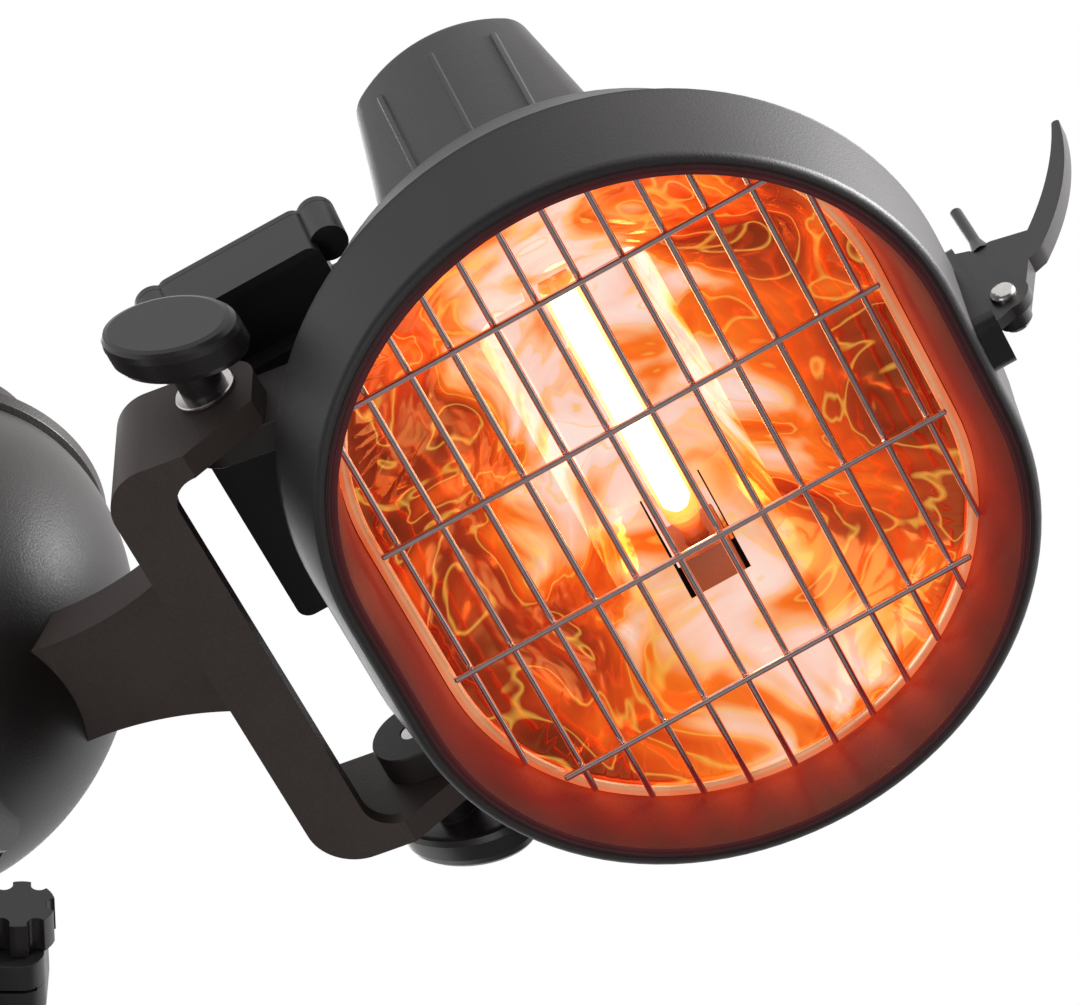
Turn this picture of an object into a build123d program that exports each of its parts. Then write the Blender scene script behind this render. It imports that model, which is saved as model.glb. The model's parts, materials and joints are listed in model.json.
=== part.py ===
from build123d import *
import os
from math import cos, sin, radians, sqrt

# Parasol heater: a hub clamped on a pole carries heater heads on forked arms.
# Part frame: Z is the pole axis, the origin is the middle of the pole clamp's bore.
# Head frame: X runs from the tilt axis to the hook, Y along the tilt axis, Z to the rear.

# Whole product
HEAD_COUNT = 2
ARM_Z = 97.0
PIVOT_RADIUS = 126.0
HEAD_TILT = 15.7
RUN = 0.06
GAP = 0.3

# Pole sleeve and clamp
POLE_R = 19.0
SLEEVE_CLEAR = 0.6
SLEEVE_WALL = 2.4
CLAMP_LENGTH = 62.0
CLAMP_WALL = 7.0
CLAMP_SPLIT = 1.0
CLAMP_LUG_REACH = 41.0
CLAMP_LUG_THICK = 9.0
CLAMP_LUG_HEIGHT = 26.0
CLAMP_EDGE_R = 6.0
CLAMP_BOLT_R = 4.0
CLAMP_KNOB_R = 9.5
CLAMP_KNOB_THICK = 11.0
CLAMP_TURN = 25.0

# Hub, heights from the arm level
BOWL_WALL = 2.6
BOWL_BOTTOM = -40.0
BOWL_FOOT_R = 27.0
BOWL_MID_R = 50.0
BOWL_HIP_R = 40.0
BOWL_HIP_Z = -21.0
BOWL_WIDE_R = 56.0
BOWL_WIDE_Z = 70.0
BOWL_TOP_R = 46.0
BOWL_TOP_Z = 97.0
COVER_R = 47.5
COVER_BAND = 11.0
COLLAR_R = 27.0
COLLAR_TOP_R = 24.5
COLLAR_HEIGHT = 34.0
LEAF_COUNT = 3
LEAF_ROOT = 6.0
LEAF_WIDTH = 26.0
LEAF_DROP = 22.0
LEAF_THICK = 2.8
TERMINAL_R = 38.0
TERMINAL_THICK = 14.0
TERMINAL_HOLES = 12
TERMINAL_HOLE_R = 2.2
COVER_SCREW_PCR = 37.0
COVER_SCREW_COUNT = 3
COVER_SCREW_START = 60.0

# Arm
ARM_ROOT_HALF = 18.0
ARM_END_HALF = 28.0
ARM_BOTTOM = -6.0
ARM_THICK = 15.0

# Yoke
YOKE_BAR_BACK = 33.0
YOKE_BAR_FRONT = 15.0
YOKE_BOTTOM = -26.0
YOKE_TOP = 10.0
YOKE_WEB = 4.0
YOKE_FLANGE = 4.0
YOKE_HALF_SPAN = 74.0
EAR_THICK = 8.0
EAR_FRONT = 14.0
EAR_CORNER_R = 9.0
EAR_CUT_U = -6.0
EAR_CUT_Z = -12.0
YOKE_CORNER_R = 14.0
YOKE_INNER_R = 9.0

# Clamping knobs on the tilt axis
STUD_R = 3.0
KNOB_OUTER_Y = 99.0
KNOB_THICK = 11.5
KNOB_LENGTH = 47.0
KNOB_WIDTH = 26.0
KNOB_NECK_R = 6.5
KNOB_EDGE_R = 2.0
KNOB_TURN = 46.0
WASHER_R = 8.8
WASHER_THICK = 1.2

# Head shells, half widths of rounded outlines about the head's own centre line
LIP_Z = -57.5
GUARD_Z = -34.5
RIDGE_Z = -26.0
SHOULDER_Z = -2.0
BACK_Z = 4.0
BEZEL_HALF = 79.7
LIP_HALF = BEZEL_HALF + 13.1
LIP_BAND = 6.0
RIDGE_HALF = LIP_HALF + 4.2
RIDGE_STEP = 0.9
SHOULDER_HALF = RIDGE_HALF - 12.5
BACK_HALF = SHOULDER_HALF - 2.5
HALF_STRAIGHT = 21.3
HEAD_U = RIDGE_HALF
SHELL_WALL = 2.5
BEZEL_WALL = 1.8
BEZEL_STRAIGHT = HALF_STRAIGHT + 6.0
LIP_EDGE_R = 2.4

# Rear cap
CAP_BASE_HALF = 34.3
CAP_TOP_HALF = 26.6
CAP_BASE_SIDE = 90.0
CAP_TOP_SIDE = 84.0
CAP_CROWN = 10.0
CAP_CORNER_R = 9.0
CAP_TOP_Z = 80.0
CAP_EDGE_R = 5.0
RIB_WIDTH = 1.6
RIB_PROUD = 1.0
RIB_PITCH = 18.0
RIB_TOP_Z = 64.0
BACK_OPEN_HALF = 30.5
BACK_OPEN_SIDE = 86.0
BACK_OPEN_CORNER_R = 6.0

# Guard
WIRE_R = 1.0
LONG_WIRE_COUNT = 12
LONG_WIRE_MARGIN = 8.2
LONG_WIRE_PITCH = 2 * (BEZEL_HALF - LONG_WIRE_MARGIN) / (LONG_WIRE_COUNT - 1)
CROSS_WIRE_COUNT = 4
CROSS_WIRE_MARGIN = 36.95
CROSS_WIRE_PITCH = 2 * (BEZEL_HALF + BEZEL_STRAIGHT - CROSS_WIRE_MARGIN) / (CROSS_WIRE_COUNT - 1)
RING_WIDTH = 3.4
RING_THICK = 2.0
WIRE_SINK = 0.25

# Reflector and lamp
REFLECTOR_WALL = 0.8
FLANGE_THICK = 0.8
MOUTH_HALF = BEZEL_HALF - 3.7
MOUTH_SIDE = BEZEL_HALF + BEZEL_STRAIGHT - 3.5
MOUTH_CORNER_R = MOUTH_HALF - 1.0
WAIST_Z = -5.0
WAIST_HALF = 27.0
WAIST_SIDE = 54.0
WAIST_CORNER_R = 8.0
FLOOR_Z = 24.0
FLOOR_HALF = 20.0
FLOOR_SIDE = 40.0
FLOOR_CORNER_R = 5.0
SLOT_HALF = 9.5
SLOT_LOW_Z = -7.5
SLOT_END = 66.0
STRIP_HALF = 9.0
STRIP_SIDE = 68.0
LAMP_Z = 12.0
LAMP_R = 5.2
LAMP_GLASS_HALF = 46.0
LAMP_END_R = 3.4
LAMP_HALF = 57.0
LAMP_EDGE_R = 1.6
HOLDER_SIDE = 53.5
HOLDER_LENGTH = 13.0
HOLDER_HALF = 8.0
HOLDER_HEIGHT = 20.0

# Junction box beside the rear cap
BOX_LEFT = -11.0
BOX_RIGHT = 52.0
BOX_LOW_Y = -62.0
BOX_HIGH_Y = 18.0
BOX_BOTTOM_Z = 18.0
BOX_TOP_Z = 44.0
WING_LEFT = -1.0
WING_RIGHT = 45.0
WING_Y = -84.0
WING_BOTTOM_Z = 24.0
WING_OVERLAP = 20.0
FOOT_LEFT = 22.0
BOX_WALL = 2.4
LID_THICK = 3.0
BOX_CORNER_R = 4.0
BOSS_R = 5.5
BOSS_BOTTOM_Z = 29.0
SCREW_HEAD_R = 3.8
SCREW_HEAD_THICK = 2.4
LID_SCREWS = [(-3.0, -79.0), (48.0, -79.0), (-5.0, 12.0), (46.0, 12.0)]
BACK_SCREW_U = 50.0
BACK_SCREW_Y = 66.0

# Pivot lugs of the head
LUG_THICK = 9.5
LUG_R = 12.0
LUG_ROOT_U = 36.0
LUG_ROOT_LOW_Z = -24.0
LUG_ROOT_HIGH_Z = 3.0

# Hook and its bracket
PAD_U = HEAD_U + RIDGE_HALF + 2.6
HOOK_PIVOT_U = PAD_U + 5.2
HOOK_PIVOT_Z = -45.5
HOOK_HALF_THICK = 2.6
HOOK_BOSS_R = 4.8
HOOK_ARM_U = HOOK_PIVOT_U + 15.5
HOOK_ARM_TOP_Z = -17.1
HOOK_ARM_LOW_Z = -28.3
HOOK_TIP_U = HOOK_PIVOT_U + 38.6
HOOK_TIP_Z = 25.0
HOOK_INNER_BOW_U = 11.6
HOOK_INNER_BOW_Z = 25.0
HOOK_OUTER_BOW_U = 9.9
HOOK_OUTER_BOW_Z = 34.0
HOOK_TIP_R = 1.2
HOOK_PIN_R = 2.5
EAR_PLATE = 3.4
EAR_BOSS_R = 7.2
PAD_HALF_Y = 9.0
PAD_LOW_Z = -56.0
PAD_HIGH_Z = -14.0
PAD_DEPTH = 12.0
PAD_EDGE_R = 4.0
PEG_U = PAD_U + 7.0
PEG_BASE_Z = -14.0
PEG_TOP_Z = 11.5
PEG_R = 1.8
PEG_FOOT_R = 3.4
PEG_FOOT_HEIGHT = 8.0

os.makedirs("parts", exist_ok=True)

CENTRED_UP = (Align.CENTER, Align.CENTER, Align.MIN)
hub_turns = [Location((0, 0, 0), (0, 0, 360.0 / HEAD_COUNT * k)) for k in range(HEAD_COUNT)]
yoke_places = [turn * Location((PIVOT_RADIUS, 0, ARM_Z)) for turn in hub_turns]
head_places = [place * Location((0, 0, 0), (0, -HEAD_TILT, 0)) for place in yoke_places]
head_names = [chr(ord("a") + k) for k in range(HEAD_COUNT)]


def save(name, shape, place=Location()):
    piece = shape.moved(place)
    piece.label = name
    export_step(piece, f"parts/{name}.step")


def save_heads(name, shape, places):
    for letter, place in zip(head_names, places):
        save(f"{name}_{letter}", shape, place)


def head_plane(z):
    return Plane(origin=(HEAD_U, 0, z))


def stadium(half, straight, mode=Mode.ADD):
    SlotOverall(2 * (half + straight), 2 * half, rotation=90, mode=mode)


def oval_block(front, rear):
    """A ruled block between two stadiums, each given as height, half width and half straight."""
    with BuildPart() as block:
        for z, half, straight in (front, rear):
            with BuildSketch(head_plane(z)):
                stadium(half, straight)
        loft(ruled=True)
    return block.part


def box_block(low, high):
    """A block between two rounded rectangles: height, half width, half length, corner radius."""
    with BuildPart() as block:
        for z, half, side, corner in (low, high):
            with BuildSketch(head_plane(z)):
                RectangleRounded(2 * half, 2 * side, corner)
        loft(ruled=True)
    return block.part


def cap_block(inset, proud, top_z):
    """Rear cap outline lofted up: straight flanks, bowed ends, rounded corners."""
    with BuildPart() as block:
        for z, base_half, base_side in (
            (BACK_Z, CAP_BASE_HALF, CAP_BASE_SIDE),
            (top_z, CAP_TOP_HALF, CAP_TOP_SIDE),
        ):
            half = base_half - inset
            side = base_side - inset + proud
            with BuildSketch(head_plane(z)) as outline:
                with BuildLine():
                    Line((half, -side), (half, side))
                    ThreePointArc((half, side), (0, side + CAP_CROWN), (-half, side))
                    Line((-half, side), (-half, -side))
                    ThreePointArc((-half, -side), (0, -side - CAP_CROWN), (half, -side))
                make_face()
                fillet(outline.vertices(), CAP_CORNER_R - inset)
        loft(ruled=True)
    return block.part


# Hub

sleeve_bore_r = POLE_R + SLEEVE_CLEAR
sleeve_r = sleeve_bore_r + SLEEVE_WALL
clamp_top = CLAMP_LENGTH / 2
bowl_top = ARM_Z + BOWL_TOP_Z
cover_top = bowl_top + COVER_BAND
collar_top = cover_top + COLLAR_HEIGHT

with BuildPart() as pole_sleeve:
    with BuildSketch(Plane.XY.offset(clamp_top)):
        Circle(sleeve_r)
        Circle(sleeve_bore_r, mode=Mode.SUBTRACT)
    extrude(amount=collar_top - clamp_top)
save("pole_sleeve", pole_sleeve.part)

bowl_curve = [
    (BOWL_FOOT_R, ARM_Z + BOWL_BOTTOM),
    (BOWL_HIP_R, ARM_Z + BOWL_HIP_Z),
    (BOWL_MID_R, ARM_Z),
    (BOWL_WIDE_R, ARM_Z + BOWL_WIDE_Z),
    (BOWL_TOP_R, bowl_top),
]
with BuildPart() as bowl_solid:
    with BuildSketch(Plane.XZ):
        with BuildLine():
            Spline(*bowl_curve)
            Line(bowl_curve[-1], (sleeve_r, bowl_top))
            Line((sleeve_r, bowl_top), (sleeve_r, ARM_Z + BOWL_BOTTOM))
            Line((sleeve_r, ARM_Z + BOWL_BOTTOM), bowl_curve[0])
        make_face()
    revolve(axis=Axis.Z)

leaf_top = ARM_Z + BOWL_BOTTOM + LEAF_ROOT
leaf_tip = ARM_Z + BOWL_BOTTOM - LEAF_DROP
leaf_waist = leaf_tip + LEAF_DROP / 3
with BuildPart() as leaf:
    with BuildSketch(Plane.YZ.offset(BOWL_FOOT_R - LEAF_THICK)):
        with BuildLine():
            Line((-LEAF_WIDTH / 2, leaf_top), (LEAF_WIDTH / 2, leaf_top))
            ThreePointArc((LEAF_WIDTH / 2, leaf_top), (LEAF_WIDTH / 3, leaf_waist), (0, leaf_tip))
            ThreePointArc((0, leaf_tip), (-LEAF_WIDTH / 3, leaf_waist), (-LEAF_WIDTH / 2, leaf_top))
        make_face()
    extrude(amount=LEAF_THICK)

with BuildPart() as hub_bowl:
    add(bowl_solid.part)
    with BuildSketch(Plane.XZ):
        with BuildLine():
            Spline(*[(r - BOWL_WALL, z) for r, z in bowl_curve[1:]])
            Line((BOWL_TOP_R - BOWL_WALL, bowl_top), (sleeve_r, bowl_top))
            Line((sleeve_r, bowl_top), (sleeve_r, bowl_curve[1][1]))
            Line((sleeve_r, bowl_curve[1][1]), (bowl_curve[1][0] - BOWL_WALL, bowl_curve[1][1]))
        make_face()
    revolve(axis=Axis.Z, mode=Mode.SUBTRACT)
    with PolarLocations(0, LEAF_COUNT):
        add(leaf.part)
save("hub_bowl", hub_bowl.part)

with BuildPart() as hub_cover:
    with BuildSketch(Plane.XZ):
        Polygon(
            (sleeve_r, bowl_top),
            (COVER_R - 1.5, bowl_top),
            (COVER_R, bowl_top + 1.5),
            (COVER_R, cover_top - 5.0),
            (COVER_R - 3.0, cover_top - 2.0),
            (COLLAR_R + 3.0, cover_top + 2.0),
            (COLLAR_R, cover_top + 5.0),
            (COLLAR_TOP_R, collar_top - 2.5),
            (COLLAR_TOP_R - 2.0, collar_top),
            (sleeve_r, collar_top),
            align=None,
        )
    revolve(axis=Axis.Z)
save("hub_cover", hub_cover.part)

with BuildPart() as terminal_ring:
    with BuildSketch(Plane.XY.offset(ARM_Z + BOWL_WIDE_Z / 2)):
        Circle(TERMINAL_R)
        Circle(sleeve_r + RUN, mode=Mode.SUBTRACT)
        with PolarLocations((TERMINAL_R + sleeve_r) / 2, TERMINAL_HOLES):
            Circle(TERMINAL_HOLE_R, mode=Mode.SUBTRACT)
    extrude(amount=TERMINAL_THICK)
save("terminal_ring", terminal_ring.part)

with BuildPart() as cover_screws:
    with BuildSketch(Plane.XY.offset(cover_top + 2.5)):
        with PolarLocations(COVER_SCREW_PCR, COVER_SCREW_COUNT, start_angle=COVER_SCREW_START):
            Circle(SCREW_HEAD_R)
    extrude(amount=-SCREW_HEAD_THICK - 1.0)
    add(hub_cover.part, mode=Mode.SUBTRACT)
save("cover_screws", cover_screws.part)

# Pole clamp: two half rings with lugs, drawn together by two knob screws

clamp_r = POLE_R + CLAMP_WALL
bolt_x = (clamp_r + CLAMP_LUG_REACH) / 2 + 1.0
clamp_place = Location((0, 0, 0), (0, 0, CLAMP_TURN))

with BuildPart() as clamp_base:
    with BuildSketch(Plane.XY.offset(-clamp_top)):
        Circle(clamp_r)
    extrude(amount=CLAMP_LENGTH)
    with Locations((0, CLAMP_LUG_THICK / 2, 0)):
        Box(2 * CLAMP_LUG_REACH, CLAMP_LUG_THICK, CLAMP_LUG_HEIGHT)
    fillet(clamp_base.edges().filter_by(Axis.Y).group_by(Axis.Z)[0], CLAMP_EDGE_R)
    fillet(clamp_base.edges().filter_by(Axis.Y).group_by(Axis.Z)[-1], CLAMP_EDGE_R)
    with Locations((0, CLAMP_SPLIT / 2 - clamp_r, 0)):
        Box(3 * clamp_r, 2 * clamp_r, 2 * CLAMP_LENGTH, mode=Mode.SUBTRACT)
    Hole(POLE_R, depth=2 * CLAMP_LENGTH)
    with Locations(Plane.XZ.offset(-CLAMP_LUG_THICK)):
        with Locations((bolt_x, 0), (-bolt_x, 0)):
            Cylinder(CLAMP_BOLT_R + RUN, 4 * CLAMP_LUG_THICK, mode=Mode.SUBTRACT)
save("clamp_base", clamp_base.part, clamp_place)

with BuildPart() as clamp_jaw:
    add(mirror(clamp_base.part, about=Plane.XZ, mode=Mode.PRIVATE))
save("clamp_jaw", clamp_jaw.part, clamp_place)

for side, bolt_side_x in (("left", -bolt_x), ("right", bolt_x)):
    with BuildPart() as clamp_knob:
        with Locations(Plane.XZ.offset(CLAMP_LUG_THICK + GAP) * Location((bolt_side_x, 0, 0))):
            Cylinder(CLAMP_KNOB_R, CLAMP_KNOB_THICK, align=CENTRED_UP)
            with PolarLocations(CLAMP_KNOB_R, 6):
                Cylinder(CLAMP_KNOB_R / 4, CLAMP_KNOB_THICK, align=CENTRED_UP, mode=Mode.SUBTRACT)
            Cylinder(
                CLAMP_BOLT_R,
                2 * CLAMP_LUG_THICK + 6.0,
                align=(Align.CENTER, Align.CENTER, Align.MAX),
            )
    save(f"clamp_knob_{side}", clamp_knob.part, clamp_place)

# Arm, between the bowl and the yoke's bar

bar_x = PIVOT_RADIUS - YOKE_BAR_BACK
with BuildPart() as arm:
    with BuildSketch(Plane.XY.offset(ARM_Z + ARM_BOTTOM)):
        with BuildLine():
            Line((BOWL_MID_R - 10.0, -ARM_ROOT_HALF), (BOWL_MID_R - 10.0, ARM_ROOT_HALF))
            Spline(
                (BOWL_MID_R - 10.0, ARM_ROOT_HALF),
                (BOWL_MID_R + 14.0, ARM_ROOT_HALF + 0.6),
                (bar_x, ARM_END_HALF),
            )
            Line((bar_x, ARM_END_HALF), (bar_x, -ARM_END_HALF))
            Spline(
                (bar_x, -ARM_END_HALF),
                (BOWL_MID_R + 14.0, -ARM_ROOT_HALF - 0.6),
                (BOWL_MID_R - 10.0, -ARM_ROOT_HALF),
            )
        make_face()
    extrude(amount=ARM_THICK)
    add(bowl_solid.part, mode=Mode.SUBTRACT)
save_heads("arm", arm.part, hub_turns)

# Yoke: an angle section, a web below and a flange behind, between two tall ears

ear_inner = YOKE_HALF_SPAN - EAR_THICK
with BuildPart() as yoke:
    with BuildSketch(Plane.XY.offset(YOKE_BOTTOM)):
        with BuildLine():
            FilletPolyline(
                (EAR_FRONT, YOKE_HALF_SPAN),
                (-YOKE_BAR_BACK, YOKE_HALF_SPAN),
                (-YOKE_BAR_BACK, -YOKE_HALF_SPAN),
                (EAR_FRONT, -YOKE_HALF_SPAN),
                radius=YOKE_CORNER_R,
            )
            Line((EAR_FRONT, -YOKE_HALF_SPAN), (EAR_FRONT, -ear_inner))
            FilletPolyline(
                (EAR_FRONT, -ear_inner),
                (-YOKE_BAR_FRONT, -ear_inner),
                (-YOKE_BAR_FRONT, ear_inner),
                (EAR_FRONT, ear_inner),
                radius=YOKE_INNER_R,
            )
            Line((EAR_FRONT, ear_inner), (EAR_FRONT, YOKE_HALF_SPAN))
        make_face()
    extrude(amount=YOKE_TOP - YOKE_BOTTOM)
    ear_edges = yoke.edges().filter_by(Axis.Y).group_by(Axis.X)[-1]
    fillet(ear_edges.group_by(Axis.Z)[-1], EAR_CORNER_R)
    with BuildSketch(Plane.XZ):
        Polygon(
            (EAR_CUT_U, YOKE_BOTTOM),
            (EAR_FRONT, EAR_CUT_Z),
            (EAR_FRONT, YOKE_BOTTOM),
            align=None,
        )
    extrude(amount=YOKE_HALF_SPAN, both=True, mode=Mode.SUBTRACT)
    hollow_back = YOKE_FLANGE - YOKE_BAR_BACK
    with BuildSketch(Plane.XY.offset(YOKE_BOTTOM + YOKE_WEB)):
        with Locations(((hollow_back + EAR_FRONT) / 2, 0)):
            Rectangle(EAR_FRONT - hollow_back, 2 * ear_inner)
    extrude(amount=YOKE_TOP - YOKE_BOTTOM, mode=Mode.SUBTRACT)
    for side in (1, -1):
        with Locations(Plane.XZ.offset(-side * (ear_inner + EAR_THICK / 2))):
            Cylinder(STUD_R + RUN, 2 * EAR_THICK, mode=Mode.SUBTRACT)
save_heads("yoke", yoke.part, yoke_places)

# Front shell with its lip and the sloping bezel inside it

front_outer = oval_block((LIP_Z, LIP_HALF, HALF_STRAIGHT), (RIDGE_Z, RIDGE_HALF, HALF_STRAIGHT))
front_inner = oval_block(
    (LIP_Z + SHELL_WALL, LIP_HALF - SHELL_WALL, HALF_STRAIGHT),
    (RIDGE_Z, RIDGE_HALF - SHELL_WALL, HALF_STRAIGHT),
)
lip_inner = LIP_HALF - LIP_BAND
bezel_outer = oval_block(
    (LIP_Z, lip_inner + BEZEL_WALL, HALF_STRAIGHT),
    (GUARD_Z, BEZEL_HALF + BEZEL_WALL, BEZEL_STRAIGHT),
)
bezel_inner = oval_block(
    (LIP_Z, lip_inner, HALF_STRAIGHT),
    (GUARD_Z, BEZEL_HALF, BEZEL_STRAIGHT),
)
guard_ring_top = GUARD_Z + RING_THICK
with BuildPart() as front_shell:
    add(front_outer)
    fillet(front_shell.edges().group_by(Axis.Z)[0], LIP_EDGE_R)
    add(front_inner, mode=Mode.SUBTRACT)
    add(bezel_outer)
    add(bezel_inner, mode=Mode.SUBTRACT)
    with BuildSketch(head_plane(GUARD_Z)):
        stadium(BEZEL_HALF + BEZEL_WALL, BEZEL_STRAIGHT)
        stadium(BEZEL_HALF, BEZEL_STRAIGHT, Mode.SUBTRACT)
    extrude(amount=RING_THICK)
save_heads("front_shell", front_shell.part, head_places)

# Rear shell, open towards the front, with an opening under the rear cap

rear_start = RIDGE_HALF - RIDGE_STEP
rear_outer = oval_block(
    (RIDGE_Z, rear_start, HALF_STRAIGHT), (SHOULDER_Z, SHOULDER_HALF, HALF_STRAIGHT)
)
back_outer = oval_block((SHOULDER_Z, SHOULDER_HALF, HALF_STRAIGHT), (BACK_Z, BACK_HALF, HALF_STRAIGHT))
rear_inner = oval_block(
    (RIDGE_Z, rear_start - SHELL_WALL, HALF_STRAIGHT),
    (SHOULDER_Z, SHOULDER_HALF - SHELL_WALL, HALF_STRAIGHT),
)
with BuildPart() as rear_shell:
    add(rear_outer)
    add(back_outer)
    add(rear_inner, mode=Mode.SUBTRACT)
    with BuildSketch(head_plane(SHOULDER_Z)):
        stadium(BACK_HALF - SHELL_WALL, HALF_STRAIGHT)
    extrude(amount=BACK_Z - SHOULDER_Z - SHELL_WALL, mode=Mode.SUBTRACT)
    with BuildSketch(head_plane(SHOULDER_Z)):
        RectangleRounded(2 * BACK_OPEN_HALF, 2 * BACK_OPEN_SIDE, BACK_OPEN_CORNER_R)
    extrude(amount=2 * (BACK_Z - SHOULDER_Z), mode=Mode.SUBTRACT)
save_heads("rear_shell", rear_shell.part, head_places)

# Rear cap: tapered cover over the lamp's terminals, with ribs on its bowed ends

with BuildPart() as rib_slabs:
    with Locations(*[(HEAD_U + i * RIB_PITCH, 0, BACK_Z) for i in (-1, 0, 1)]):
        Box(RIB_WIDTH, 4 * CAP_BASE_SIDE, RIB_TOP_Z - BACK_Z, align=CENTRED_UP)

with BuildPart() as cap_ribs:
    add(cap_block(0.0, RIB_PROUD, CAP_TOP_Z))
    add(rib_slabs.part, mode=Mode.INTERSECT)

with BuildPart() as rear_cap:
    add(cap_block(0.0, 0.0, CAP_TOP_Z))
    fillet(rear_cap.edges().group_by(Axis.Z)[-1], CAP_EDGE_R)
    add(cap_ribs.part)
    add(cap_block(SHELL_WALL, 0.0, CAP_TOP_Z - SHELL_WALL), mode=Mode.SUBTRACT)
save_heads("rear_cap", rear_cap.part, head_places)

# Guard: a welded grid of wires on a flat ring

ring_half = BEZEL_HALF - GAP
with BuildPart() as guard:
    with BuildSketch(head_plane(GUARD_Z)):
        stadium(ring_half, BEZEL_STRAIGHT)
    extrude(amount=RING_THICK)
    with BuildSketch(head_plane(GUARD_Z)):
        stadium(ring_half - RING_WIDTH, BEZEL_STRAIGHT)
    extrude(amount=RING_THICK, mode=Mode.SUBTRACT)
    long_wire_z = GUARD_Z - WIRE_R + WIRE_SINK
    for i in range(LONG_WIRE_COUNT):
        offset_u = (i - (LONG_WIRE_COUNT - 1) / 2) * LONG_WIRE_PITCH
        reach = BEZEL_STRAIGHT + sqrt(ring_half**2 - offset_u**2) - WIRE_R
        with Locations(Plane.XZ * Location((HEAD_U + offset_u, long_wire_z, 0))):
            Cylinder(WIRE_R, 2 * reach)
    for j in range(CROSS_WIRE_COUNT):
        offset_y = (j - (CROSS_WIRE_COUNT - 1) / 2) * CROSS_WIRE_PITCH
        past = max(abs(offset_y) - BEZEL_STRAIGHT, 0.0)
        reach = sqrt(ring_half**2 - past**2) - WIRE_R
        cross_z = long_wire_z - 2 * WIRE_R + WIRE_SINK
        with Locations(Plane.YZ * Location((offset_y, cross_z, HEAD_U))):
            Cylinder(WIRE_R, 2 * reach)
save_heads("guard", guard.part, head_places)

# Reflector: a flared mouth, a narrower trough, slots for the lamp's ends, a strip behind

flange_z = guard_ring_top
mouth = (flange_z, MOUTH_HALF, MOUTH_SIDE, MOUTH_CORNER_R)
waist = (WAIST_Z, WAIST_HALF, WAIST_SIDE, WAIST_CORNER_R)
trough = (FLOOR_Z, FLOOR_HALF, FLOOR_SIDE, FLOOR_CORNER_R)


def shrunk(profile, by, lower=0.0):
    z, half, side, corner = profile
    return (z - lower, half - by, side - by, corner - by)


with BuildPart() as reflector:
    add(box_block(mouth, waist))
    add(box_block(waist, trough))
    with BuildSketch(head_plane(flange_z)):
        stadium(ring_half, BEZEL_STRAIGHT)
    extrude(amount=FLANGE_THICK)
    with Locations((HEAD_U, 0, FLOOR_Z)):
        Box(2 * STRIP_HALF, 2 * STRIP_SIDE, 1.2, align=CENTRED_UP)
    add(box_block(shrunk(mouth, REFLECTOR_WALL), shrunk(waist, REFLECTOR_WALL)), mode=Mode.SUBTRACT)
    add(
        box_block(shrunk(waist, REFLECTOR_WALL), shrunk(trough, REFLECTOR_WALL, REFLECTOR_WALL)),
        mode=Mode.SUBTRACT,
    )
    slot_height = FLOOR_Z - 1.0 - SLOT_LOW_Z
    for side in (1, -1):
        with Locations((HEAD_U, side * (FLOOR_SIDE + SLOT_END) / 2, SLOT_LOW_Z)):
            slot_length = SLOT_END - FLOOR_SIDE
            Box(2 * SLOT_HALF, slot_length, slot_height, align=CENTRED_UP, mode=Mode.SUBTRACT)
save_heads("reflector", reflector.part, head_places)

lamp_axis = Plane.XZ * Location((HEAD_U, LAMP_Z, 0))
with BuildPart() as lamp:
    with Locations(lamp_axis):
        Cylinder(LAMP_R, 2 * LAMP_GLASS_HALF)
        Cylinder(LAMP_END_R, 2 * LAMP_HALF)
    fillet(lamp.edges().filter_by(GeomType.CIRCLE).group_by(SortBy.RADIUS)[-1], LAMP_EDGE_R)
save_heads("lamp", lamp.part, head_places)

with BuildPart() as lamp_holders:
    for side in (1, -1):
        with Locations((HEAD_U, side * (HOLDER_SIDE + HOLDER_LENGTH / 2), FLOOR_Z)):
            Box(
                2 * HOLDER_HALF,
                HOLDER_LENGTH,
                HOLDER_HEIGHT,
                align=(Align.CENTER, Align.CENTER, Align.MAX),
            )
    with Locations(lamp_axis):
        Cylinder(LAMP_END_R, 2 * LAMP_HALF, mode=Mode.SUBTRACT)
save_heads("lamp_holders", lamp_holders.part, head_places)

# Junction box on the rear shell, with a wing towards the upper knob

with BuildPart() as box_outline:
    with BuildSketch(Plane.XY.offset(BOX_BOTTOM_Z)):
        with Locations(((BOX_LEFT + BOX_RIGHT) / 2, (BOX_LOW_Y + BOX_HIGH_Y) / 2)):
            RectangleRounded(BOX_RIGHT - BOX_LEFT, BOX_HIGH_Y - BOX_LOW_Y, BOX_CORNER_R)
    extrude(amount=BOX_TOP_Z - BOX_BOTTOM_Z)
    with BuildSketch(Plane.XY.offset(WING_BOTTOM_Z)):
        with Locations(((WING_LEFT + WING_RIGHT) / 2, (WING_Y + BOX_LOW_Y + WING_OVERLAP) / 2)):
            RectangleRounded(WING_RIGHT - WING_LEFT, BOX_LOW_Y + WING_OVERLAP - WING_Y, BOX_CORNER_R)
    extrude(amount=BOX_TOP_Z - WING_BOTTOM_Z)
    with BuildSketch(Plane.XY.offset(BOSS_BOTTOM_Z)):
        with Locations(*LID_SCREWS):
            Circle(BOSS_R)
    extrude(amount=BOX_TOP_Z - BOSS_BOTTOM_Z)

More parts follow.
